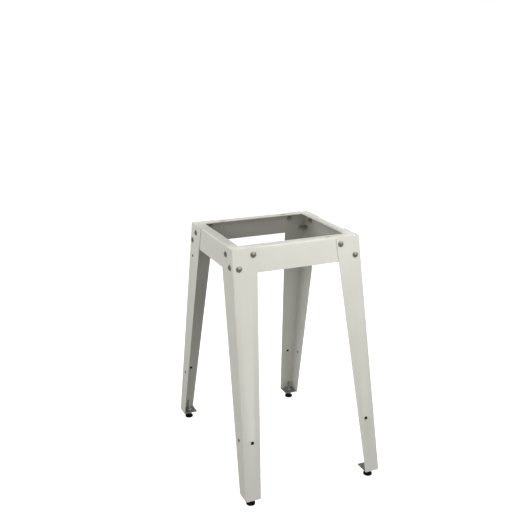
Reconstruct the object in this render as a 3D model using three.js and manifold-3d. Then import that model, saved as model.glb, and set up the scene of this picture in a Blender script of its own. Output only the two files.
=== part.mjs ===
// Open machine stand: four splayed sheet-steel legs bolted to four top rails, standing on screw feet.
// Millimetres, +Z up. The origin is on the floor under the middle of the frame, and the front faces -Y.
import * as THREE from "three";
import { mergeVertices } from "three/addons/utils/BufferGeometryUtils.js";
import Module from "manifold-3d";

const wasm = await Module();
wasm.setup();

// Frame
const overallHeight = 762;
const legClearance = 25; // floor to the lower edges of the legs
const legHeight = overallHeight - legClearance;
const topWidth = 418; // X, over the outer faces of the legs at the top
const topDepth = 360; // Y, over the outer faces of the legs at the top
const splayX = 18.5; // sideways move of each leg's corner from its top to its bottom
const splayY = 141; // the same, towards the front or the back
const sheet = 2; // steel sheet
const bendRadius = 4; // outside of a fold
const gap = 0.3; // left between pieces that touch

// Legs: the long flange lies over a long rail, the short flange over a short rail
const legFlange = {
  long: { top: 80, foot: 48 },
  short: { top: 91, foot: 50 },
};

// Rails: a web behind the leg flanges and a seat folded inwards for the machine
const railHeight = 73.5;
const railSeat = 32;
const railEnd = 10; // from the outer corner of the leg to the end of a rail
const mitreStart = 7; // from the web to the start of the seat's 45 degree end
const slotLength = 22;
const slotWidth = 9;
const slotX = 110; // from the middle of a long rail
const slotInset = 19; // from the web's outer face

// Square punched holes, by their drop below the frame's top and their offset from the leg's fold
const punch = 8.6;
const boltPlaces = {
  long: {
    upper: { drop: 20, offset: 66 },
    lower: { drop: 57, offset: 19.5 },
  },
  short: {
    upper: { drop: 24, offset: 50 },
    lower: { drop: 56, offset: 22 },
  },
};
const braceHole = { drop: 565, offset: 30.5 }; // empty, in both flanges of every leg
const sideHole = { drop: 110, offset: 31.5 }; // empty, in the short flange of one pair of legs

// Carriage bolt and flange nut, M8
const boltRadius = 3.9;
const boltLength = 16; // under the head
const neckSize = 7.8;
const neckLength = 4;
const headRadius = 9;
const headHeight = 4.6;
const headRim = 0.9;
const frameNut = { acrossFlats: 13, height: 8, flangeRadius: 8.5, rim: 1.2, cone: 1.6, bore: 4.35 };

// Screw foot, M10
const footInsetX = 25; // from the leg's outer corner to the stud
const footInsetY = 25.5;
const plateThickness = 3;
const plateCorner = 4; // cut off the plate's corner at the fold
const studRadius = 5;
const studBore = 5.4;
const studTop = 62; // above the floor
const studBottom = 6;
const studChamfer = 1;
const plateNut = { acrossFlats: 15, height: 11, flangeRadius: 10.5, rim: 1.5, cone: 2.5, bore: studBore };
const lowerNutAcrossFlats = 17;
const lowerNutHeight = 5;
const padRadius = 14;
const padRim = 6;
const padNeckRadius = 8;
const padNeckHeight = 12;
const padHeight = 13;
const padEdge = 1;

const foldSides = 5; // flats in a fold
const fastenerSides = 16;
const footSides = 24;

const paint = new THREE.MeshStandardMaterial({ color: 0xd3d2c8, roughness: 0.45, metalness: 0 });
const zinc = new THREE.MeshStandardMaterial({ color: 0xb9bcbe, roughness: 0.3, metalness: 1 });
const darkSteel = new THREE.MeshStandardMaterial({ color: 0x6d706f, roughness: 0.4, metalness: 1 });
const rubber = new THREE.MeshStandardMaterial({ color: 0x161616, roughness: 0.8, metalness: 0 });

// Solids for cutting and joining
function toSolid(geometry) {
  const bare = geometry.clone();
  bare.deleteAttribute("normal");
  bare.deleteAttribute("uv");
  const merged = mergeVertices(bare, 1e-4);
  return new wasm.Manifold(
    new wasm.Mesh({
      numProp: 3,
      vertProperties: new Float32Array(merged.attributes.position.array),
      triVerts: new Uint32Array(merged.index.array),
    }),
  );
}

function toGeometry(solid) {
  const mesh = solid.getMesh();
  const geometry = new THREE.BufferGeometry();
  geometry.setAttribute("position", new THREE.BufferAttribute(mesh.vertProperties, 3));
  geometry.setIndex(new THREE.BufferAttribute(mesh.triVerts, 1));
  geometry.computeVertexNormals();
  return geometry;
}

function join(...pieces) {
  return toGeometry(pieces.map(toSolid).reduce((whole, piece) => whole.add(piece)));
}

function cut(body, tools) {
  return toGeometry(tools.map(toSolid).reduce((left, tool) => left.subtract(tool), toSolid(body)));
}

// Round and six-sided pieces about Z, from (radius, height) points or by size
function turned(points, sides) {
  const profile = points.map(([radius, height]) => new THREE.Vector2(radius, height));
  return new THREE.LatheGeometry(profile, sides).rotateX(Math.PI / 2);
}

function rod(radius, low, high, sides) {
  const geometry = new THREE.CylinderGeometry(radius, radius, high - low, sides);
  return geometry.rotateX(Math.PI / 2).translate(0, 0, (low + high) / 2);
}

function hexagon(acrossFlats, low, high) {
  return rod(acrossFlats / Math.sqrt(3), low, high, 6);
}

function block(size, low, high) {
  return new THREE.BoxGeometry(size, size, high - low).translate(0, 0, (low + high) / 2);
}

// Section of a sheet folded once: outer faces run from start to corner to end, thickness goes inside the fold
function foldedSheet(start, corner, end) {
  const toStart = start.clone().sub(corner).normalize();
  const toEnd = end.clone().sub(corner).normalize();
  const halfAngle = toStart.angleTo(toEnd) / 2;
  const inwards = toStart.clone().add(toEnd).normalize();
  const centre = corner.clone().addScaledVector(inwards, bendRadius / Math.sin(halfAngle));
  const tangent = bendRadius / Math.tan(halfAngle);
  const faces = [toStart, toEnd].map((along) => {
    const foot = corner.clone().addScaledVector(along, tangent);
    return { inside: centre.clone().sub(foot).normalize(), foot };
  });
  const startAngle = faces[0].foot.clone().sub(centre).angle();
  const endAngle = faces[1].foot.clone().sub(centre).angle();
  const clockwise = toStart.cross(toEnd) > 0;
  const innerStart = start.clone().addScaledVector(faces[0].inside, sheet);
  const innerEnd = end.clone().addScaledVector(faces[1].inside, sheet);
  const shape = new THREE.Shape();
  shape.moveTo(start.x, start.y);
  shape.absarc(centre.x, centre.y, bendRadius, startAngle, endAngle, clockwise);
  shape.lineTo(end.x, end.y);
  shape.lineTo(innerEnd.x, innerEnd.y);
  shape.absarc(centre.x, centre.y, bendRadius - sheet, endAngle, startAngle, !clockwise);
  shape.lineTo(innerStart.x, innerStart.y);
  shape.closePath();
  return shape;
}

function extrude(shape, depth) {
  const options = { depth, bevelEnabled: false, curveSegments: foldSides };
  return new THREE.ExtrudeGeometry(shape, options);
}

// The outer corner of the leg at a height, in the quadrant where X and Y are positive
function legCorner(height) {
  const share = (overallHeight - height) / legHeight;
  return new THREE.Vector3(topWidth / 2 + splayX * share, topDepth / 2 + splayY * share, height);
}

// Frame on a flange's outer face: Z out of the face, Y up the slope
function onFlange(flange, { drop, offset }) {
  const place = legCorner(overallHeight - drop);
  const up = new THREE.Vector3(0, 0, legHeight);
  const out = new THREE.Vector3();
  if (flange === "long") {
    place.x -= offset;
    up.y = -splayY;
    out.set(0, legHeight, splayY);
  } else {
    place.y -= offset;
    up.x = -splayX;
    out.set(legHeight, 0, splayX);
  }
  up.normalize();
  out.normalize();
  const across = up.clone().cross(out);
  return new THREE.Matrix4().makeBasis(across, up, out).setPosition(place);
}

function squareHole(flange, place) {
  const reach = 5 * sheet;
  return block(punch, -reach, reach).applyMatrix4(onFlange(flange, place));
}

// Leg: a folded section drawn at the foot, then stretched up along the splayed corner with widening flanges
function legGeometry(extraHoles) {
  const section = foldedSheet(
    new THREE.Vector2(legFlange.short.foot, 0).rotateAround(new THREE.Vector2(), Math.PI / 2),
    new THREE.Vector2(0, 0),
    new THREE.Vector2(legFlange.long.foot, 0),
  );
  const body = extrude(section, 1);
  const position = body.attributes.position;
  for (let i = 0; i < position.count; i++) {
    const rise = position.getZ(i);
    const corner = legCorner(legClearance + rise * legHeight);
    let inX = position.getX(i);
    let inY = position.getY(i);
    if (inX > bendRadius + sheet) inX += rise * (legFlange.long.top - legFlange.long.foot);
    if (inY > bendRadius + sheet) inY += rise * (legFlange.short.top - legFlange.short.foot);
    position.setXYZ(i, corner.x - inX, corner.y - inY, corner.z);
  }
  const holes = ["long", "short"].flatMap((flange) => [
    squareHole(flange, boltPlaces[flange].upper),
    squareHole(flange, boltPlaces[flange].lower),
    squareHole(flange, braceHole),
  ]);
  return cut(body, [...holes, ...extraHoles]);
}

// Rail on the +Y side (long) or the +X side (short), drawn along X and turned into place
function railGeometry(flange) {
  const isLong = flange === "long";
  const face = (isLong ? topDepth : topWidth) / 2 - sheet - gap;
  const lean = ((isLong ? splayY : splayX) / legHeight) * railHeight;
  const halfLength = (isLong ? topWidth : topDepth) / 2 - railEnd;
  const section = foldedSheet(
    new THREE.Vector2(face + lean, overallHeight - railHeight),
    new THREE.Vector2(face, overallHeight),
    new THREE.Vector2(face - railSeat, overallHeight),
  );
  // The section's X and Y become the rail's Y and Z, and the extrusion runs along X
  const turn = new THREE.Matrix4().makeBasis(
    new THREE.Vector3(0, 1, 0),
    new THREE.Vector3(0, 0, 1),
    new THREE.Vector3(1, 0, 0),
  );
  const body = extrude(section, 2 * halfLength).translate(0, 0, -halfLength).applyMatrix4(turn);
  leanEnds(body, halfLength, isLong ? splayX : splayY);
  const tools = [-1, 1].map((side) => seatMitre(side, halfLength, face));
  if (isLong) tools.push(...[-1, 1].map((side) => seatSlot(side * slotX, face - slotInset)));
  if (!isLong) body.rotateZ(-Math.PI / 2);
  if (!isLong) tools.forEach((tool) => tool.rotateZ(-Math.PI / 2));
  for (const place of Object.values(boltPlaces[flange])) {
    const hole = squareHole(flange, place);
    const centre = new THREE.Vector3().setFromMatrixPosition(onFlange(flange, place));
    const toOtherEnd = isLong ? [-2 * centre.x, 0, 0] : [0, -2 * centre.y, 0];
    tools.push(hole, hole.clone().translate(...toOtherEnd));
  }
  return cut(body, tools);
}

// Leans both ends of a rail with the legs, so that its web keeps its distance to the folds further down
function leanEnds(body, halfLength, splay) {
  const position = body.attributes.position;
  for (let i = 0; i < position.count; i++) {
    const drop = overallHeight - position.getZ(i);
    const reach = halfLength + (splay / legHeight) * drop;
    position.setX(i, (position.getX(i) / halfLength) * reach);
  }
}

// What comes off one end of a rail's seat, so that the seats of two rails meet at 45 degrees
function seatMitre(side, halfLength, face) {
  const depth = railSeat + 2 * sheet;
  const shape = new THREE.Shape();
  shape.moveTo(0, 0);
  shape.lineTo(0, -depth);
  shape.lineTo(-side * depth, -depth);
  shape.closePath();
  const thickness = 2 * bendRadius;
  const room = sheet; // the tool starts beyond the rail's end, on the same 45 degree line
  const place = new THREE.Vector3(side * (halfLength + room), face - mitreStart + room, overallHeight);
  return extrude(shape, thickness).translate(place.x, place.y, place.z - thickness / 2);
}

function seatSlot(x, y) {
  const radius = slotWidth / 2;
  const straight = (slotLength - slotWidth) / 2;
  const shape = new THREE.Shape();
  shape.absarc(straight, 0, radius, -Math.PI / 2, Math.PI / 2, false);
  shape.absarc(-straight, 0, radius, Math.PI / 2, (3 * Math.PI) / 2, false);
  shape.closePath();
  const thickness = 4 * sheet;
  return extrude(shape, thickness).translate(x, y, overallHeight - thickness / 2);
}

// Carriage bolt along Z, its domed head outside the flange and its square neck in the punched holes
function boltGeometry() {
  const dome = headHeight - headRim;
  const bow = (headRadius ** 2 + dome ** 2) / (2 * dome); // radius of the dome's sphere
  const shares = [0.9, 0.65, 0.35];
  const crown = shares.map((share) => {
    const radius = share * headRadius;
    return [radius, gap + headHeight - bow + Math.sqrt(bow ** 2 - radius ** 2)];
  });
  const head = turned(
    [[0, gap], [headRadius, gap], [headRadius, gap + headRim], ...crown, [0, gap + headHeight]],
    fastenerSides,
  );
  const neck = block(neckSize, gap - neckLength, gap + headRim / 2);
  const shank = rod(boltRadius, gap - boltLength, gap - neckLength / 2, fastenerSides);
  return join(head, neck, shank);
}

// Hexagon nut with a forged washer face, standing on its seat at z = 0
function flangeNut(sizes, sides) {
  const coneTop = sizes.rim + sizes.cone;
  const flange = turned(
    [
      [0, 0],
      [sizes.flangeRadius, 0],
      [sizes.flangeRadius, sizes.rim],
      [sizes.acrossFlats / 2, coneTop],
      [0, coneTop],
    ],
    sides,
  );
  const body = hexagon(sizes.acrossFlats, sizes.rim, sizes.height);
  return cut(join(flange, body), [rod(sizes.bore, -gap, sizes.height + gap, sides)]);
}

// Foot pieces, about the stud's axis
function lowerNutGeometry() {
  const high = legClearance - gap;
  const low = high - lowerNutHeight;
  return cut(hexagon(lowerNutAcrossFlats, low, high), [rod(studBore, low - gap, high + gap, footSides)]);
}

function studGeometry() {
  return turned(
    [
      [0, studBottom],
      [studRadius, studBottom],
      [studRadius, studTop - studChamfer],
      [studRadius - studChamfer, studTop],
      [0, studTop],
    ],
    footSides,
  );
}

function padGeometry() {
  return turned(
    [
      [0, 0],
      [padRadius - padEdge, 0],
      [padRadius, padEdge],
      [padRadius, padRim],
      [padNeckRadius, padNeckHeight],
      [padNeckRadius - padEdge, padHeight],
      [studBore, padHeight],
      [studBore, studBottom - gap],
      [0, studBottom - gap],
    ],
    footSides,
  );
}

function plateGeometry() {
  const low = legClearance;
  const inset = sheet + gap;
  const corner = legCorner(low + plateThickness); // the leg is narrowest at the plate's upper face
  const outer = legCorner(low);
  const lowX = outer.x - legFlange.long.foot;
  const lowY = outer.y - legFlange.short.foot;
  const highX = corner.x - inset;
  const highY = corner.y - inset;
  const shape = new THREE.Shape();
  shape.moveTo(lowX, lowY);
  shape.lineTo(highX, lowY);
  shape.lineTo(highX, highY - plateCorner);
  shape.lineTo(highX - plateCorner, highY);
  shape.lineTo(lowX, highY);
  shape.closePath();
  const body = extrude(shape, plateThickness).translate(0, 0, low);
  const hole = rod(studBore, low - sheet, low + plateThickness + sheet, footSides);
  return cut(body, [hole.translate(outer.x - footInsetX, outer.y - footInsetY, 0)]);
}

// Nut hanging under a flange's outer face, past the leg, the rail and the gaps, square to the sheet
function nutUnder(flange) {
  const slope = (flange === "long" ? splayY : splayX) / legHeight;
  const seat = (2 * sheet + gap) / Math.hypot(1, slope) + gap;
  return flangeNut(frameNut, fastenerSides).rotateX(Math.PI).translate(0, 0, -seat);
}

const stand = new THREE.Group();

function addMesh(parent, name, geometry, material, matrix) {
  const mesh = new THREE.Mesh(geometry, material);
  mesh.name = name;
  if (matrix) mesh.applyMatrix4(matrix);
  parent.add(mesh);
}

const plainLeg = legGeometry([]);
const drilledLeg = legGeometry([squareHole("short", sideHole)]);
const plate = plateGeometry();
const plateTop = legClearance + plateThickness;
const upperNut = flangeNut(plateNut, footSides).translate(0, 0, plateTop + gap);
const lowerNut = lowerNutGeometry();
const stud = studGeometry();
const pad = padGeometry();
const bolt = boltGeometry();
const nuts = { long: nutUnder("long"), short: nutUnder("short") };

const corners = [
  { name: "front_left", x: -1, y: -1, leg: plainLeg },
  { name: "front_right", x: 1, y: -1, leg: drilledLeg },
  { name: "rear_left", x: -1, y: 1, leg: drilledLeg },
  { name: "rear_right", x: 1, y: 1, leg: plainLeg },
];

for (const corner of corners) {
  const group = new THREE.Group();
  group.scale.set(corner.x, corner.y, 1);
  addMesh(group, `${corner.name}_leg`, corner.leg, paint);
  addMesh(group, `${corner.name}_foot_plate`, plate, darkSteel);
  for (const flange of ["long", "short"]) {
    for (const [level, place] of Object.entries(boltPlaces[flange])) {
      const matrix = onFlange(flange, place);
      addMesh(group, `${corner.name}_${flange}_bolt_${level}`, bolt, zinc, matrix);
      addMesh(group, `${corner.name}_${flange}_nut_${level}`, nuts[flange], zinc, matrix);
    }
  }
  const foot = new THREE.Group();
  const outer = legCorner(legClearance);
  foot.position.set(outer.x - footInsetX, outer.y - footInsetY, 0);
  addMesh(foot, `${corner.name}_foot_upper_nut`, upperNut, darkSteel);
  addMesh(foot, `${corner.name}_foot_lower_nut`, lowerNut, zinc);
  addMesh(foot, `${corner.name}_foot_stud`, stud, darkSteel);
  addMesh(foot, `${corner.name}_foot_pad`, pad, rubber);
  group.add(foot);
  stand.add(group);
}

const longRail = railGeometry("long");
const shortRail = railGeometry("short");
const halfTurn = new THREE.Matrix4().makeRotationZ(Math.PI);
addMesh(stand, "rear_rail", longRail, paint);
addMesh(stand, "front_rail", longRail, paint, halfTurn);
addMesh(stand, "right_rail", shortRail, paint);
addMesh(stand, "left_rail", shortRail, paint, halfTurn);

export default stand;
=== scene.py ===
import math

import bmesh
import bpy
import numpy as np
from mathutils import Matrix, Vector


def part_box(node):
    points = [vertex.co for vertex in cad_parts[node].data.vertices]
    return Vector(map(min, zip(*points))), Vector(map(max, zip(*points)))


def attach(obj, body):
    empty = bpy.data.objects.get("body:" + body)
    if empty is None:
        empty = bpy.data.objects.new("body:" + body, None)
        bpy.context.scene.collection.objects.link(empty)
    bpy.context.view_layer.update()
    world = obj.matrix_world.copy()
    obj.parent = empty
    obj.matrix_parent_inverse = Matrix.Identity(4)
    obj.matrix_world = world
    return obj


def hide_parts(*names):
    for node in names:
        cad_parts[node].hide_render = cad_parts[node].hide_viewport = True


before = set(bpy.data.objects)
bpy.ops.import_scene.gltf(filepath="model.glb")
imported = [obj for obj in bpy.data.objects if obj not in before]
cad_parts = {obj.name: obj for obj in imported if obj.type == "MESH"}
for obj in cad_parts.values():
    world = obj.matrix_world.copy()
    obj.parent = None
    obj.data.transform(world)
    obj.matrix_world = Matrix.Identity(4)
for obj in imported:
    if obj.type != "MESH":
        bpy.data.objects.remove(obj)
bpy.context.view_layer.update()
mm = 0.001
weld = 1e-6  # metres, points closer than this are one
corners = {"front_left": (-1, -1), "front_right": (1, -1), "rear_left": (-1, 1), "rear_right": (1, 1)}

# the frame as it was packed: how high it stands, and where the legs' outer corners end at the foot
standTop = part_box("front_rail")[1].z
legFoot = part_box("front_right_leg")[0].z
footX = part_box("rear_right_leg")[1].x
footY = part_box("rear_right_leg")[1].y
stand = {
    "topX": 209 * mm,  # half of the frame's top over the legs, across
    "topY": 180 * mm,  # the same from front to back
    "sheet": 2 * mm,
    "fold": 4 * mm,  # outer radius of a fold
    "foldSteps": 8,
    "gap": 0.3 * mm,  # between pieces that rest on each other
    "punch": 8.6 * mm,  # square holes
    "edge": 0.35 * mm,  # rounding that the powder leaves on a sheared edge
    "edgeAngle": 40,  # degrees, a corner that turns more is rounded
    "inland": 50 * mm,  # stands for the distance to an edge where none is near
}
legHeight = standTop - legFoot
slopeX = (footX - stand["topX"]) / legHeight  # outward move of a leg's corner for each metre down
slopeY = (footY - stand["topY"]) / legHeight

# drop below the top, offset from the leg's outer corner
boltPlaces = {
    "long": {"upper": (20 * mm, 66 * mm), "lower": (57 * mm, 19.5 * mm)},
    "short": {"upper": (24 * mm, 50 * mm), "lower": (56 * mm, 22 * mm)},
}
braceHole = (565 * mm, 30.5 * mm)
sideHole = (110 * mm, 31.5 * mm)
sideHoleLegs = ("front_right", "rear_left")


def srgb(hexColour):
    # sRGB hex to linear colour
    parts = [int(hexColour[i:i + 2], 16) / 255 for i in (0, 2, 4)]
    return [p / 12.92 if p <= 0.04045 else ((p + 0.055) / 1.055) ** 2.4 for p in parts] + [1]


def addNode(tree, kind, settings=None, **links):
    # one node with its settings: a link is another node's output socket or a plain value,
    # under the name of an input, or under i0 for the first one
    node = tree.nodes.new(kind)
    for key, value in (settings or {}).items():
        setattr(node, key, value)
    for key, value in links.items():
        numbered = key[0] == "i" and key[1:].isdigit()
        socket = node.inputs[int(key[1:]) if numbered else key]
        if isinstance(value, bpy.types.NodeSocket):
            tree.links.new(value, socket)
        else:
            socket.default_value = value
    return node


def newMaterial(name):
    material = bpy.data.materials.new(name)
    material.use_nodes = True
    tree = material.node_tree
    tree.nodes.clear()
    shader = addNode(tree, "ShaderNodeBsdfPrincipled")
    addNode(tree, "ShaderNodeOutputMaterial", Surface=shader.outputs["BSDF"])
    return material, tree, shader


def perMetre(size):
    # noise scale that gives features of a real size
    return 1 / size


noiseLow, noiseHigh = 0.3, 0.7  # most values of a noise lie between these

powderLook = {
    "colour": "D6D5CD",  # warm light grey
    "tint": "CDCBC1",  # where the film is thicker
    "rubAndHighlight": "E4E3DC",  # painted edge highlight along a sheared edge, partly where the film is thin and rubbed
    "peel": 2.2 * mm,  # orange peel
    "cloud": 90 * mm,  # slow change of film thickness
    "speck": 5 * mm,  # patches in the wear and painted edge highlight
    "wearAndHighlightReach": 1.1 * mm,  # how far the wear and painted edge highlight reach in from a sheared edge
    "wearAndHighlight": 0.55,  # how much of the pale colour, painted highlight and rub, shows at the edge itself
    "gloss": (0.40, 0.48), "bump": 0.12, "relief": 0.15 * mm, "ior": 1.5,
}


def powderCoat():
    # Powder coated mild steel: a satin film with a shallow orange peel, paler at sheared edges, where a
    # painted edge highlight goes with some rubbing
    material, tree, shader = newMaterial("powder_coated_steel")
    place = addNode(tree, "ShaderNodeTexCoord").outputs
    cloud = addNode(tree, "ShaderNodeTexNoise", Vector=place["Object"],
                    Scale=perMetre(powderLook["cloud"]), Detail=3.0)
    tone = addNode(tree, "ShaderNodeMix", {"data_type": "RGBA"}, Factor=cloud.outputs["Fac"],
                   i6=srgb(powderLook["colour"]), i7=srgb(powderLook["tint"]))
    apart = addNode(tree, "ShaderNodeSeparateXYZ", Vector=place["UV"])  # metres to the free edges
    nearest = addNode(tree, "ShaderNodeMath", {"operation": "MINIMUM"},
                      i0=apart.outputs["X"], i1=apart.outputs["Y"])
    speck = addNode(tree, "ShaderNodeTexNoise", Vector=place["Object"],
                    Scale=perMetre(powderLook["speck"]), Detail=4.0)
    reach = addNode(tree, "ShaderNodeMath", {"operation": "MULTIPLY"},
                    i0=speck.outputs["Fac"], i1=powderLook["wearAndHighlightReach"])
    # painted edge highlight: a paler colour mixed in near the sheared edges, partly a rubbed film
    wearAndHighlight = addNode(tree, "ShaderNodeMapRange", {"interpolation_type": "SMOOTHSTEP"},
                   Value=nearest.outputs[0], i1=0.0, i2=reach.outputs[0], i3=powderLook["wearAndHighlight"], i4=0.0)
    paint = addNode(tree, "ShaderNodeMix", {"data_type": "RGBA"}, Factor=wearAndHighlight.outputs[0],
                    i6=tone.outputs[2], i7=srgb(powderLook["rubAndHighlight"]))
    gloss = addNode(tree, "ShaderNodeMapRange", Value=cloud.outputs["Fac"], i1=noiseLow, i2=noiseHigh,
                    i3=powderLook["gloss"][0], i4=powderLook["gloss"][1])
    peel = addNode(tree, "ShaderNodeTexNoise", Vector=place["Object"],
                   Scale=perMetre(powderLook["peel"]), Detail=1.5)
    bump = addNode(tree, "ShaderNodeBump", Height=peel.outputs["Fac"],
                   Strength=powderLook["bump"], Distance=powderLook["relief"])
    tree.links.new(paint.outputs[2], shader.inputs["Base Color"])
    tree.links.new(gloss.outputs[0], shader.inputs["Roughness"])
    tree.links.new(bump.outputs[0], shader.inputs["Normal"])
    shader.inputs["IOR"].default_value = powderLook["ior"]
    return material


zincLook = {
    "colour": "C4C2B8", "haze": "A3A197",
    "spangle": 1.6 * mm, "tool": 0.35 * mm,  # cloudy patches and tool marks
    "gloss": (0.26, 0.38), "bump": 0.08, "relief": 0.05 * mm,
}


def zincPlate():
    # Cold headed steel with bright zinc: clean metal shine, slightly cloudy, with faint tool marks
    material, tree, shader = newMaterial("zinc_plated_steel")
    place = addNode(tree, "ShaderNodeTexCoord").outputs["Object"]
    haze = addNode(tree, "ShaderNodeTexNoise", Vector=place,
                   Scale=perMetre(zincLook["spangle"]), Detail=3.0)
    tone = addNode(tree, "ShaderNodeMix", {"data_type": "RGBA"}, Factor=haze.outputs["Fac"],
                   i6=srgb(zincLook["colour"]), i7=srgb(zincLook["haze"]))
    gloss = addNode(tree, "ShaderNodeMapRange", Value=haze.outputs["Fac"], i1=noiseLow, i2=noiseHigh,
                    i3=zincLook["gloss"][0], i4=zincLook["gloss"][1])
    marks = addNode(tree, "ShaderNodeTexNoise", Vector=place,
                    Scale=perMetre(zincLook["tool"]), Detail=1.0)
    bump = addNode(tree, "ShaderNodeBump", Height=marks.outputs["Fac"],
                   Strength=zincLook["bump"], Distance=zincLook["relief"])
    tree.links.new(tone.outputs[2], shader.inputs["Base Color"])
    tree.links.new(gloss.outputs[0], shader.inputs["Roughness"])
    tree.links.new(bump.outputs[0], shader.inputs["Normal"])
    shader.inputs["Metallic"].default_value = 1
    return material


passiveLook = {
    "colour": "C6CAC2", "oxide": "989C93", "grain": 2.4 * mm,
    "gloss": (0.34, 0.52), "bump": 0.1, "relief": 0.08 * mm,
}


def passiveZinc():
    # Rolled steel with a dull passivated zinc: faintly green grey, half matt, darker where it has dulled
    material, tree, shader = newMaterial("dull_zinc_steel")
    place = addNode(tree, "ShaderNodeTexCoord").outputs["Object"]
    dull = addNode(tree, "ShaderNodeTexNoise", Vector=place,
                   Scale=perMetre(passiveLook["grain"]), Detail=4.0)
    tone = addNode(tree, "ShaderNodeMix", {"data_type": "RGBA"}, Factor=dull.outputs["Fac"],
                   i6=srgb(passiveLook["colour"]), i7=srgb(passiveLook["oxide"]))
    gloss = addNode(tree, "ShaderNodeMapRange", Value=dull.outputs["Fac"], i1=noiseLow, i2=noiseHigh,
                    i3=passiveLook["gloss"][0], i4=passiveLook["gloss"][1])
    bump = addNode(tree, "ShaderNodeBump", Height=dull.outputs["Fac"],
                   Strength=passiveLook["bump"], Distance=passiveLook["relief"])
    tree.links.new(tone.outputs[2], shader.inputs["Base Color"])
    tree.links.new(gloss.outputs[0], shader.inputs["Roughness"])
    tree.links.new(bump.outputs[0], shader.inputs["Normal"])
    shader.inputs["Metallic"].default_value = 1
    return material


rubberLook = {
    "colour": "0A0A0B", "bloom": "141415", "grain": 0.9 * mm, "patch": 7 * mm,
    "gloss": (0.58, 0.74), "bump": 0.25, "relief": 0.1 * mm, "ior": 1.52, "specular": 0.2,
}


def mouldedRubber():
    # Moulded black rubber: matt, with a spark eroded grain from the mould and a faint grey bloom
    material, tree, shader = newMaterial("moulded_rubber")
    place = addNode(tree, "ShaderNodeTexCoord").outputs["Object"]
    bloom = addNode(tree, "ShaderNodeTexNoise", Vector=place,
                    Scale=perMetre(rubberLook["patch"]), Detail=3.0)
    tone = addNode(tree, "ShaderNodeMix", {"data_type": "RGBA"}, Factor=bloom.outputs["Fac"],
                   i6=srgb(rubberLook["colour"]), i7=srgb(rubberLook["bloom"]))
    gloss = addNode(tree, "ShaderNodeMapRange", Value=bloom.outputs["Fac"], i1=noiseLow, i2=noiseHigh,
                    i3=rubberLook["gloss"][0], i4=rubberLook["gloss"][1])
    grain = addNode(tree, "ShaderNodeTexNoise", Vector=place,
                    Scale=perMetre(rubberLook["grain"]), Detail=2.0)
    bump = addNode(tree, "ShaderNodeBump", Height=grain.outputs["Fac"],
                   Strength=rubberLook["bump"], Distance=rubberLook["relief"])
    tree.links.new(tone.outputs[2], shader.inputs["Base Color"])
    tree.links.new(gloss.outputs[0], shader.inputs["Roughness"])
    tree.links.new(bump.outputs[0], shader.inputs["Normal"])
    shader.inputs["IOR"].default_value = rubberLook["ior"]
    shader.inputs["Specular IOR Level"].default_value = rubberLook["specular"]
    return material


powder = powderCoat()
zinc = zincPlate()
dullZinc = passiveZinc()
rubber = mouldedRubber()
print("materials made")


def quadsOf(shape, keep=None):
    # corner numbers of every cell of a grid, in one array, with the cells left out that keep says no to
    number = np.arange(shape[0] * shape[1]).reshape(shape[:2])
    quads = np.stack([number[:-1, :-1], number[1:, :-1], number[1:, 1:], number[:-1, 1:]], -1)
    return quads[keep] if keep is not None else quads.reshape(-1, 4)


def makePiece(name, patches, material, body="frame", replaced=None, turned=False):
    # patches are grids of points, each point with its distances to two free edges, for the wear and painted
    # edge highlight along them
    points, faces, edges, first = [], [], [], 0
    for patch in patches:
        grid = patch["points"]
        quads = quadsOf(grid.shape, patch.get("keep")) + first
        points.append(grid.reshape(-1, 3))
        faces.append(quads[:, ::-1] if turned else quads)
        far = np.ones(grid.shape[:2] + (2,))
        edges.append(patch.get("edge", far).reshape(-1, 2))
        first += grid.shape[0] * grid.shape[1]
    points, faces, edges = np.concatenate(points), np.concatenate(faces), np.concatenate(edges)
    mesh = bpy.data.meshes.new(name)
    mesh.from_pydata(points.tolist(), [], faces.tolist())
    uv = mesh.uv_layers.new(name="edge")
    uv.data.foreach_set("uv", edges[faces.ravel()].astype(np.float32).ravel())
    shape = bmesh.new()
    shape.from_mesh(mesh)
    bmesh.ops.remove_doubles(shape, verts=shape.verts, dist=weld)
    shape.to_mesh(mesh)
    shape.free()
    mesh.shade_smooth()
    mesh.materials.append(material)
    piece = bpy.data.objects.new(name, mesh)
    bpy.context.scene.collection.objects.link(piece)
    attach(piece, body)
    if replaced:
        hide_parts(replaced)
    return piece


def foldSheet(piece, thickness=stand["sheet"]):
    # a sheet gets its thickness on the inner side, and a small round on its sheared edges
    wall = piece.modifiers.new("sheet", "SOLIDIFY")
    wall.thickness = thickness
    wall.offset = -1
    wall.use_even_offset = True
    rounding = piece.modifiers.new("edges", "BEVEL")
    rounding.width = stand["edge"]
    rounding.segments = 2
    rounding.limit_method = "ANGLE"
    rounding.angle_limit = math.radians(stand["edgeAngle"])
    rounding.harden_normals = True


# Legs
leg = {
    "long": {"top": 80 * mm, "foot": 48 * mm},
    "short": {"top": 91 * mm, "foot": 50 * mm},
    "farLane": (0.9, 0.78),  # where the outer pair of grid lines ends at the foot, as shares of the flange
}


def cornerAt(z):
    # a leg's outer corner in plan: it moves out in step with the drop below the top
    return stand["topX"] + slopeX * (standTop - z), stand["topY"] + slopeY * (standTop - z)


def holeRange(place, slope):
    # a square hole's lower and upper height, on a face that leans
    half = stand["punch"] / 2 / math.hypot(1, slope)
    return standTop - place[0] - half, standTop - place[0] + half


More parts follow.
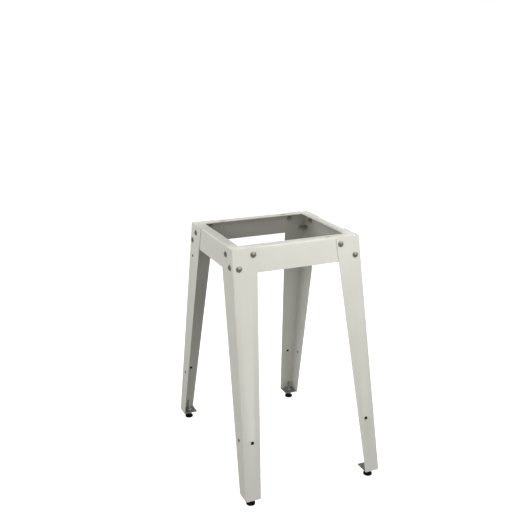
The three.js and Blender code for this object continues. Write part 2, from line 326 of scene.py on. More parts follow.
def flangeLines(flange, holes, rows, slope):
    # Lines from the free edge to the fold, by height. Two lanes of two lines meet the sides of the holes in
    # them and run straight between: the far lane holds the upper bolt, the near lane the rest
    width = np.interp(rows, [legFoot, standTop], [leg[flange]["foot"], leg[flange]["top"]])
    half = stand["punch"] / 2
    far = [holes["upper"]]
    near = [place for name, place in holes.items() if name != "upper"]
    lines = [width]
    keepCells = []
    for lane, ends in ((far, leg["farLane"]), (near, None)):
        lane = sorted(lane, key=lambda place: -place[0])
        heights = np.array([holeRange(place, slope) for place in lane]).ravel()
        middles = np.repeat([place[1] for place in lane], 2)
        for side, end in zip((1, -1), ends or (0, 0)):
            knotsZ, knotsA = heights, middles + side * half
            if ends:
                knotsZ = np.concatenate([[legFoot], knotsZ])
                knotsA = np.concatenate([[end * leg[flange]["foot"]], knotsA])
            lines.append(np.interp(rows, knotsZ, knotsA))
        middle = (rows[:-1] + rows[1:]) / 2
        inside = np.zeros(len(middle), bool)
        for low, high in heights.reshape(-1, 2):
            inside |= (middle > low) & (middle < high)
        keepCells.append(~inside)
    lines.append(np.full(len(rows), stand["fold"]))
    whole = np.ones(len(rows) - 1, bool)
    keep = np.array([whole, keepCells[0], whole, keepCells[1], whole])
    return np.array(lines), keep, width


def legPatch(name):
    # A leg's outer face: round its folded section by height, measured in from the leaning outer corner
    holes = {flange: {**boltPlaces[flange], "brace": braceHole} for flange in boltPlaces}
    if name in sideHoleLegs:
        holes["short"]["side"] = sideHole
    slopes = {"long": slopeY, "short": slopeX}
    heights = [holeRange(place, slopes[f]) for f in holes for place in holes[f].values()]
    rows = np.unique(np.concatenate([[legFoot, standTop], np.ravel(heights)]))
    longLines, longKeep, longWidth = flangeLines("long", holes["long"], rows, slopeY)
    shortLines, shortKeep, shortWidth = flangeLines("short", holes["short"], rows, slopeX)
    turn = np.linspace(0, math.pi / 2, stand["foldSteps"] + 1)[1:-1, None] + 0 * rows
    inX = np.concatenate([longLines, stand["fold"] * (1 - np.sin(turn)), 0 * shortLines])
    inY = np.concatenate([0 * longLines, stand["fold"] * (1 - np.cos(turn)), shortLines[::-1]])
    foldKeep = np.ones((stand["foldSteps"], len(rows) - 1), bool)
    keep = np.concatenate([longKeep, foldKeep, shortKeep[::-1]])
    cornerX, cornerY = cornerAt(rows)
    points = np.stack([cornerX - inX, cornerY - inY, rows + 0 * inX], -1)
    far = np.full(turn.shape, stand["inland"])
    sideways = np.concatenate([longWidth - longLines, far, (shortWidth - shortLines)[::-1]])
    upDown = np.minimum(rows - legFoot, standTop - rows) + 0 * inX
    return {"points": points, "keep": keep, "edge": np.stack([sideways, upDown], -1)}


for name, (sideX, sideY) in corners.items():
    patch = legPatch(name)
    patch["points"] = patch["points"] * [sideX, sideY, 1]
    sheet = makePiece(name + "_leg_sheet", [patch], powder, replaced=name + "_leg",
                      turned=sideX * sideY > 0)
    foldSheet(sheet)
print("legs folded")

# Rails
rail = {
    "height": 73.5 * mm,
    "seat": 32 * mm,
    "end": 10 * mm,  # from the leg's corner to the end of a rail
    "mitreStart": 7 * mm,
    "squeeze": 135 * mm,  # seat lines move in for the mitre beyond this
    "slotX": 110 * mm,
    "slotInset": 19 * mm,
    "slot": (22 * mm, 9 * mm),
    "slotPatch": 20 * mm,  # half the length of the seat that is meshed round a slot
    "slotSteps": 16,
    "slotHaste": 3,  # a slot's straight sides take the middle third of its steps
}
slotStops = np.linspace(-1, 1, rail["slotSteps"] + 1)


def railSection(face, slope):
    # The fold between a leaning web and a level seat: an arc that both touch, and the corner it rounds off
    down = np.array([slope, -1]) / math.hypot(1, slope)
    inward = np.array([-1.0, 0.0])
    half = math.acos(down @ inward) / 2
    corner = np.array([face, standTop])
    bisect = (down + inward) / np.linalg.norm(down + inward)
    centre = corner + bisect * stand["fold"] / math.sin(half)
    start = math.atan2(*(corner + down * stand["fold"] / math.tan(half) - centre)[::-1])
    turn = np.linspace(start, math.pi / 2, stand["foldSteps"] + 1)
    return centre + stand["fold"] * np.stack([np.cos(turn), np.sin(turn)], -1), corner


def railHoles(flange, wide, along, slope):
    # each bolt hole's ends along the rail and its drops down the web: it goes square through leg and rail
    lean = math.hypot(1, slope)
    shift = (stand["sheet"] + stand["gap"]) * slope / lean
    half = stand["punch"] / 2
    spans, drops = [], []
    for drop, offset in boltPlaces[flange].values():
        centre = wide + along * drop - offset
        spans.append((centre - half, centre + half))
        drops.append((drop + shift - half / lean, drop + shift + half / lean))
    return spans, drops


def seatLine(x, y):
    # points on the seats' upper side
    return np.stack([x, y + 0 * x, standTop + 0 * x], -1)


def slotPatches(middle, y, outer, rim):
    # From a slot's round-ended outline to the seat's two sides, half by half, and a triangle at each end
    length, width = rail["slot"]
    radius, straight = width / 2, (length - width) / 2
    turn = (slotStops + 1) / 2 * math.pi
    bulge = radius * np.sin(turn)
    slotX = middle - radius * np.cos(turn) + straight * np.clip(rail["slotHaste"] * slotStops, -1, 1)
    sideX = middle + slotStops * rail["slotPatch"]
    upper = np.stack([seatLine(sideX, outer), seatLine(slotX, y + bulge)], 1)
    lower = np.stack([seatLine(slotX, y - bulge), seatLine(sideX, rim)], 1)
    patches = [{"points": upper}, {"points": lower}]
    for end in (0, -1):
        corner = np.array([[upper[end, 0], upper[end, 1]], [lower[end, 1], lower[end, 0]]])
        patches.append({"points": corner if end else corner[::-1]})
    return patches


def seatPatches(stops, half, face, slotMiddles):
    # The seat from the mitre's start to its rim: lines move in towards the mitred ends, with room for slots
    cut = rail["seat"] - rail["mitreStart"]
    squeeze = rail["squeeze"]
    ends = np.interp(stops, [-half, -squeeze, squeeze, half], [cut - half, -squeeze, squeeze, half - cut])
    outer, rim = face - rail["mitreStart"], face - rail["seat"]
    points = np.stack([seatLine(stops, outer), seatLine(ends, rim)], 1)
    middleX = (stops[:-1] + stops[1:]) / 2
    keep = np.ones((len(stops) - 1, 1), bool)
    for middle in slotMiddles:
        keep[np.abs(middleX - middle) < rail["slotPatch"]] = False
    inland = np.full((len(stops), 2), stand["inland"])
    edge = np.stack([inland, np.tile([cut, 0], (len(stops), 1))], -1)
    patches = [{"points": points, "keep": keep, "edge": edge}]
    for middle in slotMiddles:
        patches += slotPatches(middle, face - rail["slotInset"], outer, rim)
    return patches


def railPatches(flange):
    # Along the rail by round the section: a web that leans with the legs, the fold and the mitred seat
    isLong = flange == "long"
    slope, along = (slopeY, slopeX) if isLong else (slopeX, slopeY)
    wide, deep = (stand["topX"], stand["topY"]) if isLong else (stand["topY"], stand["topX"])
    half = wide - rail["end"]
    face = deep - stand["sheet"] - stand["gap"]
    arc, corner = railSection(face, slope)
    spans, drops = railHoles(flange, wide, along, slope)
    webDrops = np.unique(np.concatenate([[rail["height"]], np.ravel(drops)]))[::-1]
    web = corner + np.outer(webDrops, [slope, -1])
    section = np.concatenate([web, arc, [[face - rail["mitreStart"], standTop]]])
    sides = np.unique(np.ravel(spans))
    stops = np.concatenate([[-half], -sides[::-1], sides, [half]])
    slotMiddles = [-rail["slotX"], rail["slotX"]] if isLong else []
    for middle in slotMiddles:
        stops = np.concatenate([stops, middle + slotStops * rail["slotPatch"]])
    stops = np.unique(np.round(stops, 7))  # stops that meet become one
    reach = along * (standTop - section[:, 1]) / half  # the ends lean with the legs
    x = stops[:, None] * (1 + np.where(np.abs(stops)[:, None] > half - weld, reach, 0))
    points = np.stack([x, section[:, 0] + 0 * x, section[:, 1] + 0 * x], -1)
    keep = np.ones((len(stops) - 1, len(section) - 1), bool)
    middleX = np.abs(stops[:-1] + stops[1:]) / 2
    middleDrop = standTop - (section[:-1, 1] + section[1:, 1]) / 2
    for (left, right), (high, low) in zip(spans, drops):
        across = (middleX > left) & (middleX < right)
        keep[np.ix_(across, (middleDrop > high) & (middleDrop < low))] = False
    endways = np.abs(half - np.abs(stops))[:, None] + 0 * x
    upDown = np.abs(rail["height"] - (standTop - section[:, 1])) + 0 * x
    shell = {"points": points, "keep": keep, "edge": np.stack([endways, upDown], -1)}
    return [shell] + seatPatches(stops, half, face, slotMiddles)


def turnPatches(patches, turn):
    # quarter turns about Z, so no face changes side
    c, s = round(math.cos(turn)), round(math.sin(turn))
    matrix = np.array([[c, -s, 0], [s, c, 0], [0, 0, 1]])
    return [{**patch, "points": patch["points"] @ matrix.T} for patch in patches]


for name, flange, turn in (("rear", "long", 0), ("front", "long", math.pi),
                           ("right", "short", -math.pi / 2), ("left", "short", math.pi / 2)):
    patches = turnPatches(railPatches(flange), turn)
    foldSheet(makePiece(name + "_rail_sheet", patches, powder, replaced=name + "_rail", turned=True))
print("rails folded")

# Round pieces about Z
threadShape = {"rows": 8, "flat": 0.1}  # rows to a pitch, and the share of a V that is flat at each end
hexCone = {"flat": 0.97, "angle": 60, "reach": 1.6, "rows": 9}  # cuts the corners off a hexagon's top


def around(steps):
    # angles once round, with the first again at the end
    return np.linspace(0, 2 * math.pi, steps + 1)


def spunPatch(radius, height, turn):
    # radius by (angle, row) and height by row, round the axis
    radius = np.broadcast_to(radius, (len(turn), len(height)))
    z = np.broadcast_to(height, radius.shape)
    return {"points": np.stack([radius * np.cos(turn)[:, None], radius * np.sin(turn)[:, None], z], -1)}


def threadRadius(turn, z, major, pitch, depth):
    # right-handed V thread: a triangle wave in height that climbs one pitch with each turn
    phase = (z[None, :] / pitch - turn[:, None] / (2 * math.pi)) % 1
    wave = np.abs(2 * phase - 1)
    flat = threadShape["flat"]
    return major - depth * np.clip((wave - flat) / (1 - 2 * flat), 0, 1)


def hexRadius(turn, acrossFlats):
    # out to the nearest flat: its distance over the cosine of the angle from its middle
    return acrossFlats / 2 / np.cos((turn + math.pi / 6) % (math.pi / 3) - math.pi / 6)


def placed(patch, matrix):
    # a patch turned and moved to its place
    spot = np.array(matrix)
    return {**patch, "points": patch["points"] @ spot[:3, :3].T + spot[:3, 3]}


def flangeMatrix(flange, place, sideX, sideY):
    # Z out of a flange's outer face and Y up its slope, on the leg in one quadrant
    z = standTop - place[0]
    x, y = cornerAt(z)
    if flange == "long":
        spot = Vector((x - place[1], y, z))
        up = Vector((0, -slopeY, 1))
        out = Vector((0, 1, slopeY))
    else:
        spot = Vector((x, y - place[1], z))
        up = Vector((-slopeX, 0, 1))
        out = Vector((1, 0, slopeX))
    flip = Vector((sideX, sideY, 1))
    up, out = (up * flip).normalized(), (out * flip).normalized()
    return Matrix.Translation(spot * flip) @ Matrix((up.cross(out), up, out)).transposed().to_4x4()


def sharpen(piece, degrees=32):
    piece.data.set_sharp_from_angle(angle=math.radians(degrees))


bolt = {
    "head": 9 * mm, "dome": 3.7 * mm, "rim": 0.9 * mm, "round": 0.35 * mm,
    "neck": 7.8 * mm, "neckLength": 4 * mm, "length": 16 * mm,
    "thread": 3.95 * mm, "pitch": 1.25 * mm, "depth": 0.65 * mm, "tip": 1.0 * mm,
    "rimAngle": 40,  # degrees, where the rim's round takes over from the dome
    "steps": 64, "domeRows": 14, "rimRows": 7,
}


def boltPatch():
    # Carriage bolt: domed head, square neck and rolled thread as one spun skin from the crown to the tip
    turn = around(bolt["steps"])
    seat = stand["gap"]
    bow = (bolt["head"] ** 2 + bolt["dome"] ** 2) / (2 * bolt["dome"])  # radius of the dome
    swing = np.linspace(0, math.asin(bolt["head"] / bow) - bolt["round"] / bow, bolt["domeRows"])
    crown = seat + bolt["rim"] + bolt["dome"]
    dome = np.stack([bow * np.sin(swing), crown - bow * (1 - np.cos(swing))], -1)
    quarter = np.linspace(math.radians(bolt["rimAngle"]), -math.pi / 2, bolt["rimRows"])
    lift = np.where(quarter > 0, bolt["rim"] - bolt["round"], 0)
    rim = np.stack([bolt["head"] - bolt["round"] * (1 - np.cos(quarter)),
                    seat + bolt["round"] * (1 + np.sin(quarter)) + lift], -1)
    head = np.concatenate([dome, rim])
    square = bolt["neck"] / 2 / np.maximum(np.abs(np.cos(turn)), np.abs(np.sin(turn)))
    neckZ = np.array([seat, seat - bolt["neckLength"]])
    end = seat - bolt["length"]
    shankZ = np.arange(neckZ[1], end, -bolt["pitch"] / threadShape["rows"])
    thread = threadRadius(turn, shankZ, bolt["thread"], bolt["pitch"], bolt["depth"])
    thread = np.minimum(thread, bolt["thread"] - np.maximum(bolt["tip"] - (shankZ - end), 0))
    headRadius = np.tile(head[:, 0], (len(turn), 1))
    tipRadius = np.tile([bolt["thread"] - bolt["tip"], 0], (len(turn), 1))
    radius = np.concatenate([headRadius, np.repeat(square[:, None], 2, 1), thread, tipRadius], 1)
    return spunPatch(radius, np.concatenate([head[:, 1], neckZ, shankZ, [end, end]]), turn)


nut = {
    "flats": 13 * mm, "height": 8 * mm, "flange": 8.5 * mm, "rim": 1.2 * mm, "cone": 1.6 * mm,
    "bore": 4.0 * mm, "chamfer": 0.8 * mm, "ease": 0.4 * mm, "steps": 72,
}


def nutRows(sizes):
    # Flange nut from its seat upwards: a sloping flange, a six-sided body under a cone, and its bore
    turn = around(sizes["steps"])
    rim, top, ease = sizes["rim"], sizes["height"], sizes["ease"]
    coneZ = top - sizes["chamfer"] * np.linspace(hexCone["reach"], 0, hexCone["rows"])
    bodyZ = np.concatenate([[rim + sizes["cone"]], coneZ])
    cone = sizes["flats"] / 2 * hexCone["flat"] + (top - bodyZ) * math.tan(math.radians(hexCone["angle"]))
    body = np.minimum(hexRadius(turn, sizes["flats"])[:, None], cone)
    flange = np.array([[sizes["bore"] + ease, 0], [sizes["flange"] - ease, 0], [sizes["flange"], ease],
                       [sizes["flange"], rim - ease / 2], [sizes["flange"] - ease / 2, rim]])
    bore = np.array([[sizes["bore"] + ease, top], [sizes["bore"], top - ease], [sizes["bore"], ease],
                     [sizes["bore"] + ease, 0]])
    flangeRadius, boreRadius = (np.tile(path[:, 0], (len(turn), 1)) for path in (flange, bore))
    radius = np.concatenate([flangeRadius, body, boreRadius], 1)
    return radius, np.concatenate([flange[:, 1], bodyZ, bore[:, 1]]), turn


def nutUnder(seat):
    # the same nut upside down, under the sheets
    radius, height, turn = nutRows(nut)
    return spunPatch(radius[:, ::-1], -seat - height[::-1], turn)


seats = {flange: (2 * stand["sheet"] + stand["gap"]) / math.hypot(1, slope) + stand["gap"]
         for flange, slope in (("long", slopeY), ("short", slopeX))}
boltSkin = boltPatch()
nutSkins = {flange: nutUnder(seat) for flange, seat in seats.items()}
for name, (sideX, sideY) in corners.items():
    for flange in boltPlaces:
        for level, place in boltPlaces[flange].items():
            spot = flangeMatrix(flange, place, sideX, sideY)
            node = f"{name}_{flange}_bolt_{level}"
            sharpen(makePiece(node + "_m8", [placed(boltSkin, spot)], zinc, replaced=node, turned=True))
            node = f"{name}_{flange}_nut_{level}"
            sharpen(makePiece(node + "_m8", [placed(nutSkins[flange], spot)], zinc, replaced=node))
print("bolts and nuts made")

# Black plugs in the empty square holes: painted shade, dark pieces standing in for the dark seen through
# open holes
shadePlug = {
    "lip": 4.6 * mm, "crown": 0.5 * mm, "thick": 0.6 * mm, "seat": 0.05 * mm,
    "bevelIn": 0.1 * mm, "bevelUp": 0.05 * mm,  # under the lip's rim
    "shank": 4.2 * mm, "straight": 1.5 * mm, "length": 1.8 * mm, "taper": 0.2 * mm,
    "squareness": 7, "sharp": 50, "steps": 48, "crownRows": 8,
}


def shadePlugPatch():
    # Thin push-in plug on a high superellipse, black as painted shade for an open hole: a low crown over a
    # lip, and a shank that ends in the sheet
    turn = around(shadePlug["steps"])
    power = shadePlug["squareness"]
    square = (np.abs(np.cos(turn)) ** power + np.abs(np.sin(turn)) ** power) ** (-1 / power)
    swing = np.linspace(0, math.pi / 2, shadePlug["crownRows"])
    lip, seat, shank = shadePlug["lip"], shadePlug["seat"], shadePlug["shank"]
    crown = np.stack([lip * np.sin(swing), seat + shadePlug["thick"] - shadePlug["crown"] * (1 - np.cos(swing))], -1)
    under = [[lip, seat + shadePlug["bevelUp"]], [lip - shadePlug["bevelIn"], seat], [shank, seat]]
    end = [[shank, -shadePlug["straight"]], [shank - shadePlug["taper"], -shadePlug["length"]], [0, -shadePlug["length"]]]
    path = np.concatenate([crown, under, end])
    return spunPatch(square[:, None] * path[:, 0], path[:, 1], turn)


shadePlugSkin = shadePlugPatch()
for name, (sideX, sideY) in corners.items():
    holes = [("long_brace", "long", braceHole), ("short_brace", "short", braceHole)]
    if name in sideHoleLegs:
        holes.append(("short_side", "short", sideHole))
    for hole, flange, place in holes:
        spot = flangeMatrix(flange, place, sideX, sideY)
        # the plug's black is painted shade that stands in for the dark inside an open hole
        piece = makePiece(f"{name}_{hole}_plug", [placed(shadePlugSkin, spot)], rubber, turned=True)
        sharpen(piece, shadePlug["sharp"])
print("holes plugged")

# Feet
footInset = (25 * mm, 25.5 * mm)  # from the leg's outer corner at the foot to the stud's axis
studX, studY = footX - footInset[0], footY - footInset[1]
footPlate = {"thick": 3 * mm, "corner": 4 * mm, "hole": 5.4 * mm, "steps": 60}
plateTop = legFoot + footPlate["thick"]


def platePatch():
    # Foot plate's upper face: straight lines from the stud hole to a four-sided outline with one corner cut
    cornerX, cornerY = cornerAt(plateTop)
    inset = stand["sheet"] + stand["gap"]
    highX, highY = cornerX - inset - studX, cornerY - inset - studY
    lowX, lowY = footX - leg["long"]["foot"] - studX, footY - leg["short"]["foot"] - studY
    cut = footPlate["corner"]
    outline = np.array([[highX, highY - cut], [highX - cut, highY],
                        [lowX, highY], [lowX, lowY], [highX, lowY]])
    angles = np.arctan2(outline[:, 1], outline[:, 0])
    turn = np.unique(np.round(np.concatenate([around(footPlate["steps"]) - math.pi, angles]), 6))
    ahead = np.stack([np.cos(turn), np.sin(turn)], -1)
    side = np.roll(outline, -1, 0) - outline
    normal = np.stack([side[:, 1], -side[:, 0]], -1)
    normal = normal * np.sign(np.sum(normal * outline, 1))[:, None]
    facing = np.maximum(ahead @ normal.T, 1e-9)  # so that a side behind lies very far off
    reach = np.sum(normal * outline, 1) / facing
    rim = reach.min(1)
    radius = np.stack([np.full_like(rim, footPlate["hole"]), rim], 1)
    flat = ahead[:, None, :] * radius[..., None] + [studX, studY]
    points = np.concatenate([flat, np.full(radius.shape + (1,), plateTop)], -1)
    edge = np.stack([rim[:, None] - radius, np.full(radius.shape, stand["inland"])], -1)
    return {"points": points, "edge": edge}


plateNut = {
    "flats": 15 * mm, "height": 11 * mm, "flange": 10.5 * mm, "rim": 1.5 * mm, "cone": 2.5 * mm,
    "bore": 5.1 * mm, "chamfer": 1.0 * mm, "ease": 0.5 * mm, "steps": 72,
}


def upperNutPatch():
    # flange nut that sits on the plate
    radius, height, turn = nutRows(plateNut)
    return spunPatch(radius, plateTop + stand["gap"] + height, turn)


lowerNut = {
    "flats": 17 * mm, "height": 5 * mm, "bore": 5.1 * mm, "ease": 0.6 * mm,
    "coneFlat": 0.96, "coneAngle": 60, "coneReach": 1.4 * mm, "coneRows": 8, "steps": 72,
}


def lowerNutPatch():
    # Plain hexagon nut under the plate, cut by a cone at both ends
    turn = around(lowerNut["steps"])
    high = legFoot - stand["gap"]
    low = high - lowerNut["height"]
    rise = np.linspace(0, lowerNut["coneReach"], lowerNut["coneRows"])
    z = np.concatenate([low + rise, high - rise[::-1]])
    slope = math.tan(math.radians(lowerNut["coneAngle"]))
    cone = lowerNut["flats"] / 2 * lowerNut["coneFlat"] + np.minimum(z - low, high - z) * slope
    body = np.minimum(hexRadius(turn, lowerNut["flats"])[:, None], cone)
    bore, ease = lowerNut["bore"], lowerNut["ease"]
    inner = np.tile([bore + ease, bore, bore, bore + ease], (len(turn), 1))
    radius = np.concatenate([body, inner, body[:, :1]], 1)
    return spunPatch(radius, np.concatenate([z, [high, high - ease, low + ease, low], z[:1]]), turn)


stud = {
    "radius": 5 * mm, "pitch": 1.5 * mm, "depth": 0.8 * mm,
    "top": 62 * mm, "bottom": 6 * mm, "chamfer": 1 * mm, "steps": 48,
}


def studPatch():
    # Levelling screw: rolled thread with a chamfered top
    turn = around(stud["steps"])
    z = np.arange(stud["bottom"], stud["top"], stud["pitch"] / threadShape["rows"])
    radius = threadRadius(turn, z, stud["radius"], stud["pitch"], stud["depth"])
    radius = np.minimum(radius, stud["radius"] - np.maximum(stud["chamfer"] - (stud["top"] - z), 0))
    core = np.full((len(turn), 1), stud["radius"] - stud["chamfer"])
    radius = np.concatenate([0 * core, radius, core, 0 * core], 1)
    return spunPatch(radius, np.concatenate([z[:1], z, [stud["top"]] * 2]), turn)


pad = {
    "radius": 14 * mm, "rim": 6 * mm, "round": 1.2 * mm,
    "neck": 8 * mm, "neckTop": 12 * mm, "top": 13 * mm, "lip": 1 * mm,
    "socket": 5.3 * mm, "ease": 0.3 * mm,
    "waistStart": 0.12,  # share of the waist's quarter turn that the rim's round takes up
    "steps": 72, "rimRows": 6, "waistRows": 9,
}


def padPatch():
    # Moulded pad: a drum with rounded rims, a waisted shoulder and a socket for the stud
    quarter = np.linspace(-math.pi / 2, 0, pad["rimRows"])
    shoulder = pad["radius"] - pad["round"]
    across = shoulder + pad["round"] * np.cos(quarter)
    rise = pad["round"] * (1 + np.sin(quarter))
    lowEdge = np.stack([across, rise], -1)
    highEdge = np.stack([across[::-1], pad["rim"] - rise[::-1]], -1)
    swing = np.linspace(pad["waistStart"], 1, pad["waistRows"]) * math.pi / 2
    waist = np.stack([shoulder + (pad["neck"] - shoulder) * np.sin(swing),
                      pad["rim"] + (pad["neckTop"] - pad["rim"]) * (1 - np.cos(swing))], -1)
    socket, top, ease = pad["socket"], pad["top"], pad["ease"]
    deep = stud["bottom"] - stand["gap"]
    inside = np.array([[pad["neck"] - ease, top - ease], [pad["neck"] - pad["lip"], top],
                       [socket + ease, top], [socket, top - ease], [socket, deep], [0, deep]])
    path = np.concatenate([[[0, 0]], lowEdge, highEdge, waist, inside])
    return spunPatch(path[:, 0], path[:, 1], around(pad["steps"]))


plateSkin = platePatch()
footSkins = {
    "upper_nut": (upperNutPatch(), dullZinc),
    "lower_nut": (lowerNutPatch(), zinc),
    "stud": (studPatch(), dullZinc),
    "pad": (padPatch(), rubber),
}
for name, (sideX, sideY) in corners.items():
    plate = {**plateSkin, "points": plateSkin["points"] * [sideX, sideY, 1]}
    sheet = makePiece(name + "_foot_plate_sheet", [plate], dullZinc, replaced=name + "_foot_plate",
                      turned=sideX * sideY > 0)
    foldSheet(sheet, footPlate["thick"])
    spot = Matrix.Translation((sideX * studX, sideY * studY, 0))
    for node, (skin, finish) in footSkins.items():
        cadNode = f"{name}_foot_{node}"
        body = f"{name}_{node}" if node in ("stud", "pad") else "frame"
        sharpen(makePiece(cadNode + "_turned", [placed(skin, spot)], finish, body, cadNode))
print("feet made")

# Floor, lights and camera
studio = {
    "floor": "BCBCBB", "floorTint": "BFBFBE", "cloud": 0.6, "matt": 0.9, "size": 60.0, "rows": 9,
    "level": -15.5 * mm,  # just under the pads when the feet are screwed right out
    "bounce": 0.2,  # share of the floor's colour in the light it throws back
    "mirrored": 0.55,  # the same where metal mirrors it
    "lift": 0.79,  # light of its own, up to white, for the eye alone
}


def makeFloor():
    # Plain pale floor, lifted to white for the eye alone, so that it throws little light back up
    material, tree, shader = newMaterial("painted_studio_floor")
    place = addNode(tree, "ShaderNodeTexCoord").outputs["Object"]
    cloud = addNode(tree, "ShaderNodeTexNoise", Vector=place, Scale=perMetre(studio["cloud"]), Detail=2.0)
    tone = addNode(tree, "ShaderNodeMix", {"data_type": "RGBA"}, Factor=cloud.outputs["Fac"],
                   i6=srgb(studio["floor"]), i7=srgb(studio["floorTint"]))
    path = addNode(tree, "ShaderNodeLightPath").outputs
    seen = path["Is Camera Ray"]
    thrown = addNode(tree, "ShaderNodeMapRange", Value=path["Is Glossy Ray"], i1=0.0, i2=1.0,
                     i3=studio["bounce"], i4=studio["mirrored"])
    share = addNode(tree, "ShaderNodeMapRange", Value=seen, i1=0.0, i2=1.0, i3=thrown.outputs[0], i4=1.0)
    dimmed = addNode(tree, "ShaderNodeVectorMath", {"operation": "SCALE"},
                     i0=tone.outputs[2], Scale=share.outputs[0])
    tree.links.new(dimmed.outputs[0], shader.inputs["Base Color"])
    shader.inputs["Roughness"].default_value = studio["matt"]
    lift = addNode(tree, "ShaderNodeMath", {"operation": "MULTIPLY"}, i0=seen, i1=studio["lift"])
    shader.inputs["Emission Color"].default_value = (1, 1, 1, 1)
    tree.links.new(lift.outputs[0], shader.inputs["Emission Strength"])
    line = np.linspace(-studio["size"] / 2, studio["size"] / 2, studio["rows"])
    x, y = np.meshgrid(line, line, indexing="ij")
    points = np.stack([x, y, np.full_like(x, studio["level"])], -1)
    mesh = bpy.data.meshes.new("studio_floor")
    mesh.from_pydata(points.reshape(-1, 3).tolist(), [], quadsOf(points.shape).tolist())
    mesh.materials.append(material)
    floor = bpy.data.objects.new("studio_floor", mesh)
    bpy.context.scene.collection.objects.link(floor)


flag = {"size": (0.40, 0.34, 0.6), "low": 0.80}  # holds the key light off the inner faces of the legs


def makeFlag():
    # Black card box over the frame that no view shows: a square ring with a lid under it
    half = np.array(flag["size"]) / 2
    turn = around(4) + math.pi / 4
    ring = np.stack([np.sign(np.cos(turn)), np.sign(np.sin(turn))], -1) * half[:2]
    low, high = flag["low"], flag["low"] + flag["size"][2]
    rows = [np.concatenate([ring * share, np.full((len(ring), 1), z)], 1)
            for share, z in ((0, low), (1, low), (1, high))]
    points = np.stack(rows, 1)
    mesh = bpy.data.meshes.new("studio_flag")
    mesh.from_pydata(points.reshape(-1, 3).tolist(), [], quadsOf(points.shape).tolist())
    mesh.materials.append(rubber)
    card = bpy.data.objects.new("studio_flag", mesh)
    card.visible_camera = False
    card.visible_glossy = False
    card.visible_diffuse = False
    bpy.context.scene.collection.objects.link(card)


# degrees from the front towards the right, degrees up, metres and watts
lights = {
    "key": {"azimuth": 25, "height": 50, "away": 1.9, "size": 1.2, "power": 24},
    "left": {"azimuth": -125, "height": 40, "away": 1.6, "size": 0.9, "power": 7.5},
    "fill": {"azimuth": -58, "height": 20, "away": 2.6, "size": 0.9, "power": 13},
    "back": {"azimuth": 150, "height": 45, "away": 2.2, "size": 1.4, "power": 22},
}


def makeLight(name, look):
    # a square softbox that faces the middle of the stand
    turn, rise = math.radians(look["azimuth"]), math.radians(look["height"])
    aim = Vector((0, 0, standTop / 2))
    data = bpy.data.lights.new(name + "_softbox", "AREA")
    data.shape = "SQUARE"
    data.size = look["size"]
    data.energy = look["power"]
    lamp = bpy.data.objects.new(name + "_softbox", data)
    back = Vector((math.sin(turn) * math.cos(rise), -math.cos(turn) * math.cos(rise), math.sin(rise)))
    lamp.location = aim + back * look["away"]
    lamp.rotation_euler = (-back).to_track_quat("-Z", "Y").to_euler()
    lamp.visible_glossy = False  # no lamp shows in metal
    bpy.context.scene.collection.objects.link(lamp)


sky = {"left": ((-1, 0, 0), 0.82), "front": ((0, -1, 0), 0.48), "right": ((1, 0, 0), 0.17),
       "back": ((0, 1, 0), 0.35), "top": ((0, 0, 1), 0.12)}
# what metal mirrors: one bright side that fades to a least light
shine = {"side": (0.46, -0.56, 0.69), "least": 0.3, "spot": 1.1, "narrow": 4}


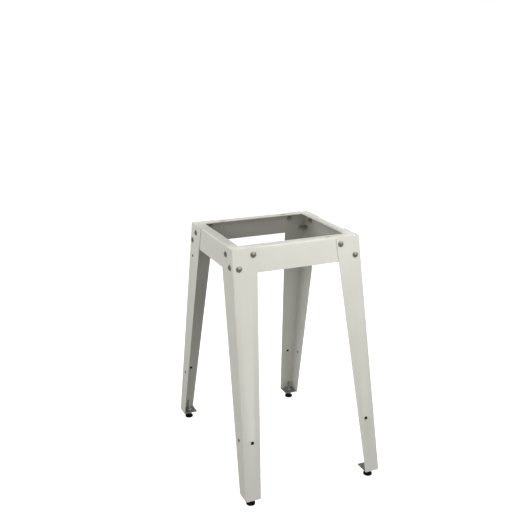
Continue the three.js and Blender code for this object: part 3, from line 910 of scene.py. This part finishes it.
def makeSky():
    # soft light from each side, as strong as the cosine to it, one bright side for what metal mirrors,
    # and plain white where a view looks past the floor
    world = bpy.data.worlds.new("studio")
    world.use_nodes = True
    tree = world.node_tree
    tree.nodes.clear()
    ahead = addNode(tree, "ShaderNodeTexCoord").outputs["Generated"]
    total = 0.0
    for side, strength in sky.values():
        cosine = addNode(tree, "ShaderNodeVectorMath", {"operation": "DOT_PRODUCT"}, i0=ahead, i1=side)
        facing = addNode(tree, "ShaderNodeMath", {"operation": "MAXIMUM"},
                         i0=cosine.outputs["Value"], i1=0.0)
        total = addNode(tree, "ShaderNodeMath", {"operation": "MULTIPLY_ADD"},
                        i0=facing.outputs[0], i1=strength, i2=total).outputs[0]
    soft = addNode(tree, "ShaderNodeBackground", Color=(1, 1, 1, 1), Strength=total)
    toShine = addNode(tree, "ShaderNodeVectorMath", {"operation": "DOT_PRODUCT"},
                      i0=ahead, i1=shine["side"])
    facing = addNode(tree, "ShaderNodeMath", {"operation": "MAXIMUM"}, i0=toShine.outputs["Value"], i1=0.0)
    spot = addNode(tree, "ShaderNodeMath", {"operation": "POWER"}, i0=facing.outputs[0], i1=shine["narrow"])
    gleam = addNode(tree, "ShaderNodeMath", {"operation": "MULTIPLY_ADD"},
                    i0=spot.outputs[0], i1=shine["spot"], i2=shine["least"])
    mirrored = addNode(tree, "ShaderNodeBackground", Color=(1, 1, 1, 1), Strength=gleam.outputs[0])
    plain = addNode(tree, "ShaderNodeBackground", Color=(1, 1, 1, 1), Strength=1.0)
    path = addNode(tree, "ShaderNodeLightPath").outputs
    lit = addNode(tree, "ShaderNodeMixShader", i0=path["Is Glossy Ray"],
                  i1=soft.outputs[0], i2=mirrored.outputs[0])
    both = addNode(tree, "ShaderNodeMixShader", i0=path["Is Camera Ray"],
                   i1=lit.outputs[0], i2=plain.outputs[0])
    addNode(tree, "ShaderNodeOutputWorld", Surface=both.outputs[0])
    bpy.context.scene.world = world


camera = {
    "place": (-0.9571, -2.1312, 1.3615),
    "yaw": 23.0107, "pitch": 16.5756, "roll": -0.2,  # degrees to the right, down and round the view
    "focal": 762.42, "frame": 515,  # in pixels
    "sensor": 36,
}


def makeCamera():
    # level and facing the back first, then rolled, tilted down and turned
    data = bpy.data.cameras.new("camera")
    data.sensor_width = camera["sensor"]
    data.lens = camera["focal"] / camera["frame"] * camera["sensor"]
    lens = bpy.data.objects.new("camera", data)
    lens.location = camera["place"]
    turn = Matrix.Rotation(-math.radians(camera["yaw"]), 4, "Z")
    tilt = Matrix.Rotation(math.radians(90 - camera["pitch"]), 4, "X")
    roll = Matrix.Rotation(math.radians(camera["roll"]), 4, "Z")
    lens.rotation_euler = (turn @ tilt @ roll).to_euler()
    bpy.context.scene.collection.objects.link(lens)
    bpy.context.scene.camera = lens


makeFloor()
makeFlag()
makeSky()
for name, look in lights.items():
    makeLight(name, look)
makeCamera()
bpy.context.scene.view_settings.view_transform = "Standard"
print("studio set")

bpy.context.view_layer.update()
